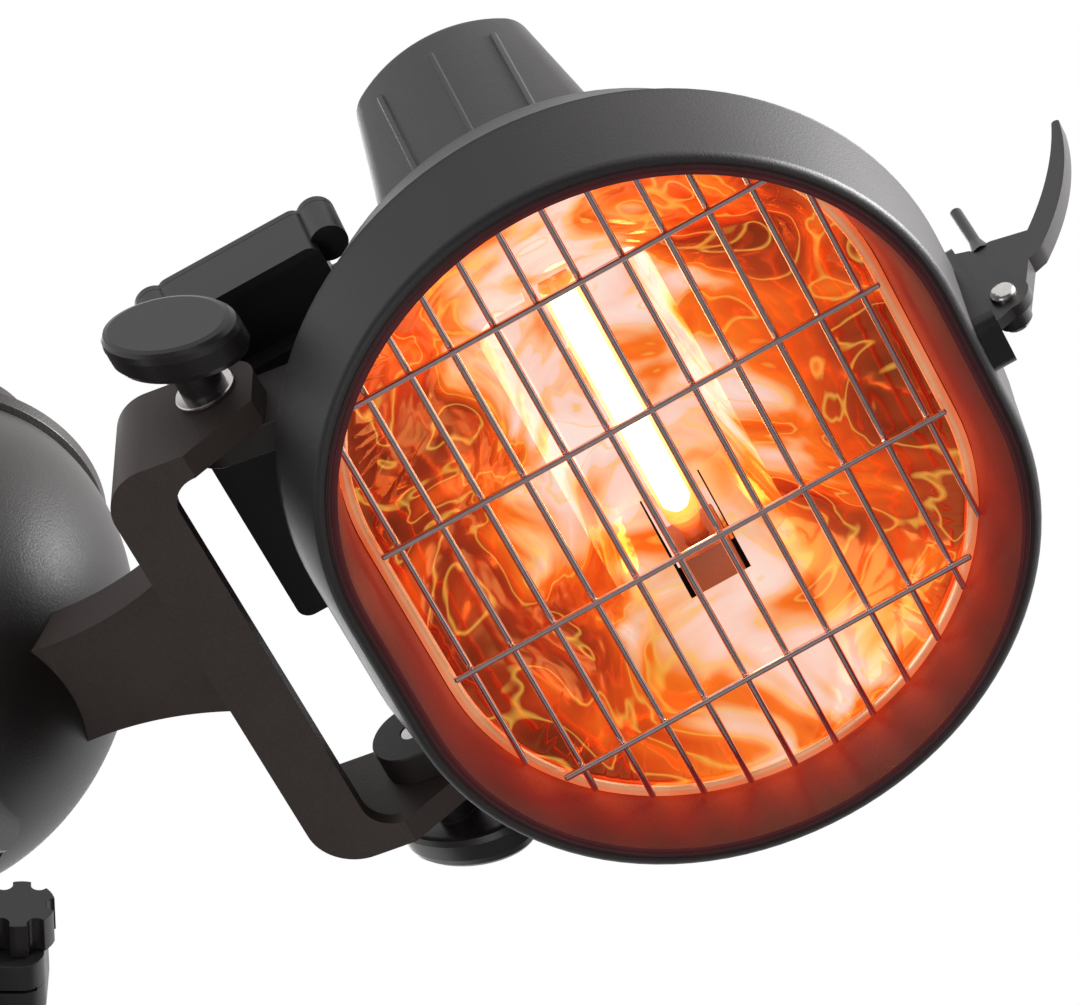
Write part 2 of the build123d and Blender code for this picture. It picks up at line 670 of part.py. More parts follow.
with BuildPart() as junction_box:
    add(box_outline.part)
    with BuildSketch(Plane.XY.offset(BACK_Z)):
        with Locations(((FOOT_LEFT + BOX_RIGHT) / 2, (BOX_LOW_Y + BOX_HIGH_Y) / 2 + 2.0)):
            RectangleRounded(BOX_RIGHT - FOOT_LEFT, BOX_HIGH_Y - BOX_LOW_Y - 8.0, BOX_CORNER_R)
    extrude(amount=BOX_BOTTOM_Z - BACK_Z + 1.0)
    with BuildSketch(Plane.XY.offset(BOX_TOP_Z)):
        with Locations(((BOX_LEFT + BOX_RIGHT) / 2, (BOX_LOW_Y + BOX_HIGH_Y) / 2)):
            RectangleRounded(
                BOX_RIGHT - BOX_LEFT - 5 * BOX_WALL,
                BOX_HIGH_Y - BOX_LOW_Y - 5 * BOX_WALL,
                BOX_CORNER_R,
            )
    extrude(amount=BOX_BOTTOM_Z + BOX_WALL - BOX_TOP_Z, mode=Mode.SUBTRACT)
save_heads("junction_box", junction_box.part, head_places)

with BuildPart() as box_lid:
    with BuildSketch(Plane.XY.offset(BOX_TOP_Z)):
        add(box_outline.part.faces().sort_by(Axis.Z)[-1])
    extrude(amount=LID_THICK)
save_heads("box_lid", box_lid.part, head_places)

# Pivot lugs on the head, inside the yoke's ears

with BuildPart() as pivot_lugs:
    for side in (1, -1):
        lug_middle = side * (ear_inner - GAP - LUG_THICK / 2)
        with BuildSketch(Plane.XZ.offset(-lug_middle)):
            Circle(LUG_R)
            with BuildLine():
                Polyline(
                    (0, LUG_R),
                    (LUG_ROOT_U, LUG_ROOT_HIGH_Z),
                    (LUG_ROOT_U, LUG_ROOT_LOW_Z),
                    (-LUG_R * 0.25, -LUG_R * 0.95),
                    close=True,
                )
            make_face()
            Circle(STUD_R + RUN, mode=Mode.SUBTRACT)
        extrude(amount=LUG_THICK / 2, both=True)
    add(rear_outer, mode=Mode.SUBTRACT)
    add(back_outer, mode=Mode.SUBTRACT)
    add(front_outer, mode=Mode.SUBTRACT)
save_heads("pivot_lugs", pivot_lugs.part, head_places)

# Clamping knobs: an oval grip, a neck, a washer and a stud through ear and lug

knob_inner = KNOB_OUTER_Y - KNOB_THICK
for side, name in ((-1, "knob_upper"), (1, "knob_lower")):
    with BuildPart() as knob:
        with BuildSketch(Plane.XZ.offset(-side * knob_inner)) as grip:
            Ellipse(KNOB_LENGTH / 2, KNOB_WIDTH / 2, rotation=-KNOB_TURN)
        extrude(amount=-side * KNOB_THICK)
        fillet(knob.edges().group_by(Axis.Y)[0 if side < 0 else -1], KNOB_EDGE_R)
        neck_start = YOKE_HALF_SPAN + GAP
        with BuildSketch(Plane.XZ.offset(-side * neck_start)):
            Circle(WASHER_R)
        extrude(amount=-side * WASHER_THICK)
        with BuildSketch(Plane.XZ.offset(-side * neck_start)):
            Circle(KNOB_NECK_R)
        extrude(amount=-side * (knob_inner - neck_start + 1.0))
        with BuildSketch(Plane.XZ.offset(-side * (knob_inner + 1.0))):
            Circle(STUD_R)
        extrude(amount=side * (knob_inner + 1.0 - ear_inner + LUG_THICK))
    save_heads(name, knob.part, head_places)

# Hook bracket on the side of the shell, away from the tilt axis

ear_start = HOOK_HALF_THICK + GAP
with BuildPart() as hook_bracket:
    with Locations((PAD_U, 0, (PAD_LOW_Z + PAD_HIGH_Z) / 2)):
        Box(
            PAD_DEPTH,
            2 * PAD_HALF_Y,
            PAD_HIGH_Z - PAD_LOW_Z,
            align=(Align.MAX, Align.CENTER, Align.CENTER),
        )
    fillet(hook_bracket.edges().filter_by(Axis.X), PAD_EDGE_R)
    with BuildSketch(Plane.XZ.offset(ear_start)):
        with BuildLine():
            Polyline(
                (PAD_U - 3.0, PAD_HIGH_Z),
                (PAD_U + 4.0, PAD_HIGH_Z - 4.0),
                (HOOK_PIVOT_U + EAR_BOSS_R * 0.8, HOOK_PIVOT_Z + EAR_BOSS_R * 0.6),
                (HOOK_PIVOT_U + EAR_BOSS_R * 0.7, HOOK_PIVOT_Z - EAR_BOSS_R * 0.7),
                (PAD_U - 3.0, PAD_LOW_Z),
                close=True,
            )
        make_face()
        with Locations((HOOK_PIVOT_U, HOOK_PIVOT_Z)):
            Circle(EAR_BOSS_R)
            Circle(HOOK_PIN_R + RUN, mode=Mode.SUBTRACT)
    extrude(amount=EAR_PLATE)
    add(front_outer, mode=Mode.SUBTRACT)
    add(rear_outer, mode=Mode.SUBTRACT)
save_heads("hook_bracket", hook_bracket.part, head_places)

# Hook: a claw and a peg that take a parasol rib between them

with BuildPart() as hook:
    with BuildSketch(Plane.XZ):
        with BuildLine():
            Polyline(
                (HOOK_ARM_U, HOOK_ARM_LOW_Z),
                (HOOK_ARM_U - 4.0, HOOK_ARM_LOW_Z - 1.6),
                (HOOK_PIVOT_U + HOOK_BOSS_R, HOOK_PIVOT_Z),
                (PAD_U + 1.0, HOOK_PIVOT_Z),
                (PAD_U + 1.0, PEG_BASE_Z + 1.0),
                (PEG_U + PEG_FOOT_R, PEG_BASE_Z + 1.0),
                (HOOK_ARM_U, HOOK_ARM_TOP_Z),
            )
            ThreePointArc(
                (HOOK_ARM_U, HOOK_ARM_TOP_Z),
                (HOOK_TIP_U - HOOK_INNER_BOW_U, HOOK_TIP_Z - HOOK_INNER_BOW_Z),
                (HOOK_TIP_U - HOOK_TIP_R, HOOK_TIP_Z - 1.0),
            )
            ThreePointArc(
                (HOOK_TIP_U - HOOK_TIP_R, HOOK_TIP_Z - 1.0),
                (HOOK_TIP_U, HOOK_TIP_Z),
                (HOOK_TIP_U + HOOK_TIP_R, HOOK_TIP_Z - 1.0),
            )
            ThreePointArc(
                (HOOK_TIP_U + HOOK_TIP_R, HOOK_TIP_Z - 1.0),
                (HOOK_TIP_U - HOOK_OUTER_BOW_U, HOOK_TIP_Z - HOOK_OUTER_BOW_Z),
                (HOOK_ARM_U, HOOK_ARM_LOW_Z),
            )
        make_face()
        with Locations((HOOK_PIVOT_U, HOOK_PIVOT_Z)):
            Circle(HOOK_BOSS_R)
            Circle(HOOK_PIN_R + RUN, mode=Mode.SUBTRACT)
    extrude(amount=HOOK_HALF_THICK, both=True)
    with Locations((PEG_U, 0, PEG_BASE_Z)):
        Cone(PEG_FOOT_R, PEG_R, PEG_FOOT_HEIGHT, align=CENTRED_UP)
        Cylinder(PEG_R, PEG_TOP_Z - PEG_BASE_Z, align=CENTRED_UP)
save_heads("hook", hook.part, head_places)

# Screws of one head: lid screws, back shell screws and the hook's pivot screw

with BuildPart() as head_screws:
    with BuildSketch(Plane.XY.offset(BOX_TOP_Z + LID_THICK)):
        with Locations(*LID_SCREWS):
            Circle(SCREW_HEAD_R)
    extrude(amount=SCREW_HEAD_THICK)
    with BuildSketch(head_plane(BACK_Z)):
        with GridLocations(2 * BACK_SCREW_U, 2 * BACK_SCREW_Y, 2, 2):
            Circle(SCREW_HEAD_R)
    extrude(amount=SCREW_HEAD_THICK)
    pin_head = ear_start + EAR_PLATE
    pin_end = HOOK_HALF_THICK + GAP
    with Locations(Plane.XZ * Location((HOOK_PIVOT_U, HOOK_PIVOT_Z, pin_head))):
        Cylinder(SCREW_HEAD_R, SCREW_HEAD_THICK, align=CENTRED_UP)
        Cylinder(HOOK_PIN_R, pin_head + pin_end, align=(Align.CENTER, Align.CENTER, Align.MAX))
    with Locations(Plane.XZ * Location((HOOK_PIVOT_U, HOOK_PIVOT_Z, -pin_end))):
        Cylinder(HOOK_PIN_R + 1.0, SCREW_HEAD_THICK / 2, align=(Align.CENTER, Align.CENTER, Align.MAX))
save_heads("head_screws", head_screws.part, head_places)
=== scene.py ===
import json
import math

import bmesh
import bpy
from mathutils import Matrix, Vector


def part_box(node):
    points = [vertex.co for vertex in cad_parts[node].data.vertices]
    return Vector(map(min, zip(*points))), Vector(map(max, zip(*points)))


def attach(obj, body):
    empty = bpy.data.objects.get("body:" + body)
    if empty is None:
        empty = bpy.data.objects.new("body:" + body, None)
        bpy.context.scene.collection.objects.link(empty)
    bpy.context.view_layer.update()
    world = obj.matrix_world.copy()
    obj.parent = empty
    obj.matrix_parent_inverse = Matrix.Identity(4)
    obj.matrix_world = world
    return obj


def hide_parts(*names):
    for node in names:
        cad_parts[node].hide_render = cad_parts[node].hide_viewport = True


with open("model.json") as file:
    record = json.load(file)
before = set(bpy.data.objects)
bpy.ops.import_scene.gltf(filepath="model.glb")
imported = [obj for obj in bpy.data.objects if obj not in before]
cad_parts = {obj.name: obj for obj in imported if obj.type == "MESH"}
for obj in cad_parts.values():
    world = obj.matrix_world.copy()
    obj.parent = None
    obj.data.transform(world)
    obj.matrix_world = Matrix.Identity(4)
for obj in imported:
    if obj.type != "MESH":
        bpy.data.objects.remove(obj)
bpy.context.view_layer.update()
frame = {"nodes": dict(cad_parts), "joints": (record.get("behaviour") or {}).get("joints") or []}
scene = bpy.context.scene

# Camera: below the heater and in front of one head, looking up at its lit face.
# Its place and directions are in the part's frame, and its lens is a long one.
camera_right = Vector((0.9096, 0.4155, 0.0))
camera_up = Vector((0.3314, -0.7255, 0.6032))
camera_spot = Vector((0.6745, -1.0567, -1.4362))
camera_back = camera_right.cross(camera_up)
camera_data = bpy.data.cameras.new("camera")
camera_data.sensor_fit = "HORIZONTAL"
camera_data.sensor_width = 36.0
camera_data.lens = 233.33
camera_data.clip_end = 50.0
camera = bpy.data.objects.new("camera", camera_data)
camera.matrix_world = Matrix.Translation(camera_spot) @ (
    Matrix((camera_right, camera_up, camera_back)).transposed().to_4x4()
)
scene.collection.objects.link(camera)
scene.camera = camera
scene.view_settings.view_transform = "Standard"


# Studio: a pale floor well below the heater, which hangs in the air, a world that is
# white behind the object and grey as a light, and three soft lamps.
def add_node(tree, kind, inputs, **settings):
    """Adds a shader node. Each input is a number, a colour or the socket that feeds it."""
    made = tree.nodes.new(kind)
    for key, value in settings.items():
        setattr(made, key, value)
    for key, value in inputs.items():
        if isinstance(value, bpy.types.NodeSocket):
            tree.links.new(value, made.inputs[key])
        else:
            made.inputs[key].default_value = value
    return made


def calculate(tree, operation, first, second=0.0, third=0.0):
    inputs = {0: first, 1: second, 2: third}
    return add_node(tree, "ShaderNodeMath", inputs, operation=operation).outputs[0]


world_grey = (0.62, 0.62, 0.63, 1.0)
world_white = (1.0, 1.0, 1.0, 1.0)
world = bpy.data.worlds.new("studio")
world.use_nodes = True
scene.world = world
tree = world.node_tree
ray = add_node(tree, "ShaderNodeLightPath", {})
seen = calculate(tree, "MAXIMUM", ray.outputs["Is Camera Ray"], ray.outputs["Is Transmission Ray"])
seen = calculate(tree, "MAXIMUM", seen, ray.outputs["Is Glossy Ray"])
light_side = add_node(tree, "ShaderNodeBackground", {"Color": world_grey, "Strength": 0.14})
seen_side = add_node(tree, "ShaderNodeBackground", {"Color": world_white, "Strength": 1.0})
mixed = add_node(
    tree, "ShaderNodeMixShader", {0: seen, 1: light_side.outputs[0], 2: seen_side.outputs[0]}
)
tree.links.new(mixed.outputs[0], tree.nodes["World Output"].inputs["Surface"])

floor_z = -2.6
floor_half = 9.0
work = bmesh.new()
bmesh.ops.create_grid(work, x_segments=2, y_segments=2, size=floor_half)
bmesh.ops.translate(work, vec=(0, 0, floor_z), verts=work.verts)
floor_mesh = bpy.data.meshes.new("floor")
work.to_mesh(floor_mesh)
work.free()
floor_paint = bpy.data.materials.new("floor_paint")
floor_paint.use_nodes = True
tree = floor_paint.node_tree
mottle = add_node(tree, "ShaderNodeTexNoise", {"Scale": 3.0, "Detail": 2.0})
pale = add_node(
    tree, "ShaderNodeMapRange", {"Value": mottle.outputs["Fac"], "To Min": 0.78, "To Max": 0.82}
)
tree.links.new(pale.outputs[0], tree.nodes["Principled BSDF"].inputs["Base Color"])
tree.nodes["Principled BSDF"].inputs["Roughness"].default_value = 0.9
floor_mesh.materials.append(floor_paint)
floor = bpy.data.objects.new("floor", floor_mesh)
scene.collection.objects.link(floor)

light_target = Vector((0.12, 0.0, 0.1))
for light_name, way, distance, size, power in (
    ("key", camera_up * 0.8 + camera_right * 1.2 - camera_back * 0.15, 1.3, 0.7, 44.0),
    ("fill", camera_back * 1.0 - camera_up * 0.5 - camera_right * 0.5, 1.7, 1.2, 5.0),
    ("back", Vector((-0.6, 0.5, 0.8)), 1.6, 1.0, 10.0),
):
    light_data = bpy.data.lights.new(light_name, "AREA")
    light_data.shape = "DISK"
    light_data.size = size
    light_data.energy = power
    light = bpy.data.objects.new(light_name, light_data)
    spot = light_target + way.normalized() * distance
    light.matrix_world = Matrix.Translation(spot) @ way.to_track_quat("Z", "Y").to_matrix().to_4x4()
    scene.collection.objects.link(light)

# Heads: each hangs in its yoke on a tilt axis, and its own frame has X from that axis to the
# hook, Y along the axis and Z to the rear. The two heads are alike and face away from the pole.
head_tilt = math.radians(15.7)
head_centre_u = 0.097
yoke_places = {}
head_places = {}
for joint in frame["joints"]:
    if joint["name"].startswith("head_tilt_"):
        along_axis = Vector(joint["axis"])
        outward = along_axis.cross(Vector((0, 0, 1)))
        turn = Matrix((outward, along_axis, Vector((0, 0, 1)))).transposed().to_4x4()
        letter = joint["name"][-1]
        yoke_places[letter] = Matrix.Translation(joint["pos_m"]) @ turn
        head_places[letter] = yoke_places[letter] @ Matrix.Rotation(-head_tilt, 4, "Y")


# Front shell: a deep pressing with a rolled lip, two fine beads on the lip and a sloping bezel
# that leads down to the guard. Coated outside and in; the lamp's red light inside and the shadows of
# the guard wires are painted in as emission.
def ramp(tree, factor, stops):
    made = add_node(tree, "ShaderNodeValToRGB", {"Fac": factor})
    elements = made.color_ramp.elements
    for element, (position, colour) in zip((elements[0], elements[1]), (stops[0], stops[-1])):
        element.position = position
        element.color = (*colour, 1.0)
    for position, colour in stops[1:-1]:
        elements.new(position).color = (*colour, 1.0)
    return made.outputs["Color"]


def coating(name, colour, roughness, grain=1500.0, height=0.00012, spread=0.16):
    """A textured powder coat: mottled colour, fine grain in gloss and relief, paler edges that are
    partly wear and partly a painted edge highlight.
    """
    material = bpy.data.materials.new(name)
    material.use_nodes = True
    tree = material.node_tree
    shader = tree.nodes["Principled BSDF"]
    where = add_node(tree, "ShaderNodeTexCoord", {}).outputs["Object"]
    fine = add_node(tree, "ShaderNodeTexNoise", {"Vector": where, "Scale": grain, "Detail": 2.0})
    broad = add_node(tree, "ShaderNodeTexNoise", {"Vector": where, "Scale": 30.0, "Detail": 4.0})
    both = calculate(tree, "ADD", fine.outputs["Fac"], broad.outputs["Fac"])
    dark = tuple(channel * (1 - spread) for channel in colour)
    light = tuple(channel * (1 + spread) for channel in colour)
    tint = ramp(tree, calculate(tree, "MULTIPLY", both, 0.5), [(0.36, dark), (0.64, light)])
    # Paler edges by pointiness: partly coat wear, partly a painted highlight where edges catch the
    # light.
    edge = add_node(tree, "ShaderNodeNewGeometry", {}).outputs["Pointiness"]
    edge_wear_and_highlight = add_node(
        tree, "ShaderNodeMapRange", {"Value": edge, "From Min": 0.53, "From Max": 0.62, "To Max": 0.35}
    )
    worn_and_highlit_colour = (*[min(1.0, 1.7 * channel + 0.02) for channel in colour], 1.0)
    worn_and_highlit = add_node(
        tree,
        "ShaderNodeMix",
        {"Factor": edge_wear_and_highlight.outputs[0], "A": tint, "B": worn_and_highlit_colour},
        data_type="RGBA",
    )
    tree.links.new(worn_and_highlit.outputs["Result"], shader.inputs["Base Color"])
    gloss = add_node(
        tree,
        "ShaderNodeMapRange",
        {"Value": fine.outputs["Fac"], "To Min": roughness - 0.08, "To Max": roughness + 0.08},
    )
    tree.links.new(gloss.outputs[0], shader.inputs["Roughness"])
    relief = add_node(
        tree,
        "ShaderNodeBump",
        {"Height": fine.outputs["Fac"], "Strength": 0.6, "Distance": height},
    )
    tree.links.new(relief.outputs[0], shader.inputs["Normal"])
    return material


def oval_ring(work, section, steps=56):
    """Sweeps a closed section round the head's oval. A point is radius, height, half straight."""
    first = [work.verts.new((point[0], 0, point[1])) for point in section]
    rim = [work.edges.new((first[i - 1], first[i])) for i in range(len(first))]
    bmesh.ops.spin(work, geom=first + rim, axis=(0, 0, 1), angle=math.pi, steps=steps)
    for vert in work.verts:
        radius = math.hypot(vert.co.x, vert.co.y)
        nearest = min(section, key=lambda point: math.hypot(point[0] - radius, point[1] - vert.co.z))
        vert.co.y += nearest[2]
    half = work.verts[:] + work.edges[:] + work.faces[:]
    copied = bmesh.ops.duplicate(work, geom=half)["geom"]
    other = [item for item in copied if isinstance(item, bmesh.types.BMVert)]
    bmesh.ops.scale(work, vec=(1, -1, 1), verts=other)
    open_edges = [edge for edge in work.edges if len(edge.link_faces) == 1]
    for way in (1, -1):
        loops = [edge for edge in open_edges if edge.verts[0].co.x * way > 0]
        bmesh.ops.bridge_loops(work, edges=loops)
    bmesh.ops.translate(work, vec=(head_centre_u, 0, 0), verts=work.verts)
    bmesh.ops.recalc_face_normals(work, faces=work.faces)


def round_edges(work, width, segments=3, angle=math.radians(32)):
    sharp = []
    for edge in work.edges:
        if len(edge.link_faces) == 2 and edge.calc_face_angle(0) > angle:
            sharp.append(edge)
    bmesh.ops.bevel(
        work,
        geom=sharp,
        offset=width,
        offset_type="OFFSET",
        segments=segments,
        profile=0.5,
        affect="EDGES",
        clamp_overlap=True,
        material=-1,
    )


def finish_piece(work, name, body, material, replaced, place=None):
    """Keeps each point's place in the head as an attribute, then sets the piece in place."""
    if place is not None:
        layer = work.verts.layers.float_vector.new("place")
        for vert in work.verts:
            vert[layer] = vert.co
        work.transform(place)
    for face in work.faces:
        face.smooth = True
    for edge in work.edges:
        edge.smooth = len(edge.link_faces) == 2 and edge.calc_face_angle(0) < math.radians(38)
    mesh = bpy.data.meshes.new(name)
    work.to_mesh(mesh)
    work.free()
    mesh.materials.append(material)
    piece = bpy.data.objects.new(name, mesh)
    scene.collection.objects.link(piece)
    weighted = piece.modifiers.new("weighted", "WEIGHTED_NORMAL")
    weighted.keep_sharp = True
    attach(piece, body)
    if replaced:
        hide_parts(*replaced)


lip_z = -0.0575
ridge_z = -0.026
guard_z = -0.0345
guard_back_z = -0.0325
lip_half = 0.0928
ridge_half = 0.097
lip_inner_half = 0.0868
bezel_half = 0.0797
half_straight = 0.0213
bezel_straight = 0.0273
shell_wall = 0.0025
bezel_wall = 0.0018
bead_width = 0.0006
bead_depth = 0.0005
bead_halves = (0.0883, 0.0899)
lip_roll = 0.0022
lip_roll_steps = 4
ridge_roll = 0.0016
ridge_inset = 0.0006
bezel_toe = 0.0004
wall_slope = (ridge_half - lip_half) / (ridge_z - lip_z)

shell_section = [(lip_inner_half, lip_z, half_straight)]
for bead_half in bead_halves:
    shell_section += [
        (bead_half - bead_width, lip_z, half_straight),
        (bead_half - bead_width / 3, lip_z + bead_depth, half_straight),
        (bead_half + bead_width / 3, lip_z + bead_depth, half_straight),
        (bead_half + bead_width, lip_z, half_straight),
    ]
for step in range(lip_roll_steps + 1):
    angle = math.pi / 2 * step / lip_roll_steps
    rolled = lip_roll * (1 - math.cos(angle))
    shell_section.append(
        (
            lip_half - lip_roll + lip_roll * math.sin(angle) + wall_slope * rolled,
            lip_z + rolled,
            half_straight,
        )
    )
shell_section += [
    (ridge_half - ridge_inset / 2, ridge_z - ridge_roll, half_straight),
    (ridge_half, ridge_z - ridge_roll / 2, half_straight),
    (ridge_half - ridge_inset, ridge_z, half_straight),
    (ridge_half - shell_wall, ridge_z, half_straight),
    (lip_half - shell_wall, lip_z + shell_wall, half_straight),
    (lip_inner_half + bezel_wall, lip_z + shell_wall, half_straight),
    (bezel_half + bezel_wall, guard_back_z, bezel_straight),
    (bezel_half, guard_back_z, bezel_straight),
    (bezel_half, guard_z - bezel_toe, bezel_straight),
]

shell_paint = coating("shell_paint", (0.024, 0.021, 0.022), 0.48)
tree = shell_paint.node_tree
# Painted lamp light: the bezel and the lip's inner edge glow red through emission, instead of being
# lit by the lamp.
lit = add_node(tree, "ShaderNodeAttribute", {}, attribute_name="glow").outputs["Fac"]
in_head = add_node(tree, "ShaderNodeAttribute", {}, attribute_name="place").outputs["Vector"]
patch = add_node(tree, "ShaderNodeTexNoise", {"Vector": in_head, "Scale": 40.0, "Detail": 3.0})
sparkle = add_node(tree, "ShaderNodeTexNoise", {"Vector": in_head, "Scale": 1500.0, "Detail": 1.0})
# Painted shadows of the guard wires: a sine stripe across the head darkens the painted red light in
# bands on the wire pitch.
wire_pitch = 0.013
shadow_spread = 0.86
head_u = add_node(tree, "ShaderNodeSeparateXYZ", {0: in_head}).outputs[0]
across = calculate(tree, "SUBTRACT", head_u, head_centre_u)
wire_shadow_phase = calculate(tree, "MULTIPLY", across, 2 * math.pi * shadow_spread / wire_pitch)
wire_shadow = calculate(tree, "SINE", wire_shadow_phase)
wire_shadow = calculate(tree, "MULTIPLY_ADD", wire_shadow, 0.10, 0.78)
sparkle_share = calculate(tree, "MULTIPLY", sparkle.outputs["Fac"], 0.22)
uneven = calculate(tree, "MULTIPLY_ADD", patch.outputs["Fac"], 0.35, sparkle_share)
wire_shadow_share = calculate(tree, "MULTIPLY", wire_shadow, 0.8)
lit = calculate(tree, "MULTIPLY", lit, calculate(tree, "ADD", uneven, wire_shadow_share))
glow_colour = ramp(
    tree,
    lit,
    [
        (0.0, (0.0, 0.0, 0.0)),
        (0.10, (0.008, 0.0004, 0.0006)),
        (0.40, (0.075, 0.001, 0.003)),
        (0.70, (0.20, 0.004, 0.003)),
        (1.0, (0.42, 0.022, 0.004)),
    ],
)
tree.links.new(glow_colour, tree.nodes["Principled BSDF"].inputs["Emission Color"])
tree.nodes["Principled BSDF"].inputs["Emission Strength"].default_value = 1.0

shell_edge_round = 0.0004
lip_glow = 0.34
lip_glow_reach = 0.0045
bezel_slack = 0.0003

for letter, place in head_places.items():
    work = bmesh.new()
    oval_ring(work, shell_section)
    round_edges(work, shell_edge_round, segments=2, angle=math.radians(50))
    # The glow attribute sets how strongly the red lamp light is painted in: from lip_glow at the lip's
    # inner edge to full at the guard, fading outward over the lip.
    glow_layer = work.verts.layers.float.new("glow")
    for vert in work.verts:
        past = max(abs(vert.co.y) - half_straight, 0.0)
        radius = math.hypot(vert.co.x - head_centre_u, past)
        deep = (vert.co.z - lip_z) / (guard_z - lip_z)
        if radius < lip_inner_half + bezel_slack and deep < 1.2:
            vert[glow_layer] = lip_glow + (1 - lip_glow) * min(max(deep, 0.0), 1.0)
        elif deep < 0.1:
            vert[glow_layer] = lip_glow * max(0.0, 1 - (radius - lip_inner_half) / lip_glow_reach)
    finish_piece(
        work, f"front_shell_skin_{letter}", f"head_{letter}", shell_paint,
        [f"front_shell_{letter}"], place,
    )


# Guard: bright drawn wires on a 13 mm pitch, spot welded to four cross wires in front of them,
# and to a rolled ring that sits in the bezel. The wires' pink tint and the ring's peach colour and
# glow are painted lamp light.
def ring_stack(work, rings, segments=32, oval=1.0):
    """A closed turned solid along Z from rings of radius and height; oval scales it along Y."""
    before = set(work.verts)
    bmesh.ops.create_circle(work, cap_ends=True, segments=segments, radius=rings[0][0])
    disc = [vert for vert in work.verts if vert not in before]
    bmesh.ops.scale(work, vec=(1, oval, 1), verts=disc)
    bmesh.ops.translate(work, vec=(0, 0, rings[0][1]), verts=disc)
    top = disc[0].link_faces[0]
    for (radius, height), (next_radius, next_height) in zip(rings, rings[1:]):
        raised = bmesh.ops.extrude_face_region(work, geom=[top])["geom"]
        top = [item for item in raised if isinstance(item, bmesh.types.BMFace)][0]
        grown = next_radius / radius
        bmesh.ops.scale(work, vec=(grown, grown, 1), verts=top.verts)
        bmesh.ops.translate(work, vec=(0, 0, next_height - height), verts=top.verts)
    made = [vert for vert in work.verts if vert not in before]
    faces = {face for vert in made for face in vert.link_faces}
    bmesh.ops.recalc_face_normals(work, faces=list(faces))
    return made


def bright_metal(name, colour, roughness, scratch_scale=(400.0, 400.0, 400.0)):
    """Polished metal with a slightly uneven gloss and tint."""
    material = bpy.data.materials.new(name)
    material.use_nodes = True
    tree = material.node_tree
    shader = tree.nodes["Principled BSDF"]
    shader.inputs["Metallic"].default_value = 1.0
    where = add_node(tree, "ShaderNodeTexCoord", {}).outputs["Object"]
    turned = add_node(tree, "ShaderNodeMapping", {"Vector": where, "Scale": scratch_scale})
    rub = add_node(
        tree, "ShaderNodeTexNoise", {"Vector": turned.outputs[0], "Scale": 1.0, "Detail": 3.0}
    )
    gloss = add_node(
        tree,
        "ShaderNodeMapRange",
        {"Value": rub.outputs["Fac"], "To Min": roughness * 0.6, "To Max": roughness * 1.5},
    )
    tree.links.new(gloss.outputs[0], shader.inputs["Roughness"])
    dull = tuple(channel * 0.86 for channel in colour)
    tint = ramp(tree, rub.outputs["Fac"], [(0.3, dull), (0.7, colour)])
    tree.links.new(tint, shader.inputs["Base Color"])
    return material


# The chrome's pink tint is a painted reflection of the lamp's red light.
guard_chrome = bright_metal("guard_chrome", (0.9, 0.7, 0.68), 0.1)
# The ring's peach base colour and its emission are painted lamp light.
ring_metal = bright_metal("ring_metal", (1.0, 0.62, 0.4), 0.3)
tree = ring_metal.node_tree
in_head = add_node(tree, "ShaderNodeAttribute", {}, attribute_name="place").outputs["Vector"]
warm = add_node(tree, "ShaderNodeTexNoise", {"Vector": in_head, "Scale": 30.0, "Detail": 2.0})
ring_painted_light_colour = ramp(tree, warm.outputs["Fac"], [(0.3, (0.75, 0.16, 0.035)), (0.7, (1.0, 0.42, 0.19))])
tree.links.new(ring_painted_light_colour, tree.nodes["Principled BSDF"].inputs["Emission Color"])
tree.nodes["Principled BSDF"].inputs["Emission Strength"].default_value = 0.5

wire_radius = 0.001
long_wires = 12
cross_wires = 4
cross_pitch = 0.0467
ring_half = bezel_half - 0.0003
ring_width = 0.0034
ring_thick = 0.002
long_wire_z = guard_z - 0.00075
cross_wire_z = long_wire_z - 0.00175
weld_radius = 0.00125
stand_along_y = Matrix.Rotation(-math.pi / 2, 4, "X")
stand_along_x = Matrix.Rotation(math.pi / 2, 4, "Y")


def add_wire(work, reach, way, offset):
    rings = [
        (wire_radius * 0.55, -reach),
        (wire_radius, -reach + wire_radius * 0.5),
        (wire_radius, reach - wire_radius * 0.5),
        (wire_radius * 0.55, reach),
    ]
    made = ring_stack(work, rings, segments=14)
    bmesh.ops.transform(work, matrix=Matrix.Translation(offset) @ way, verts=made)


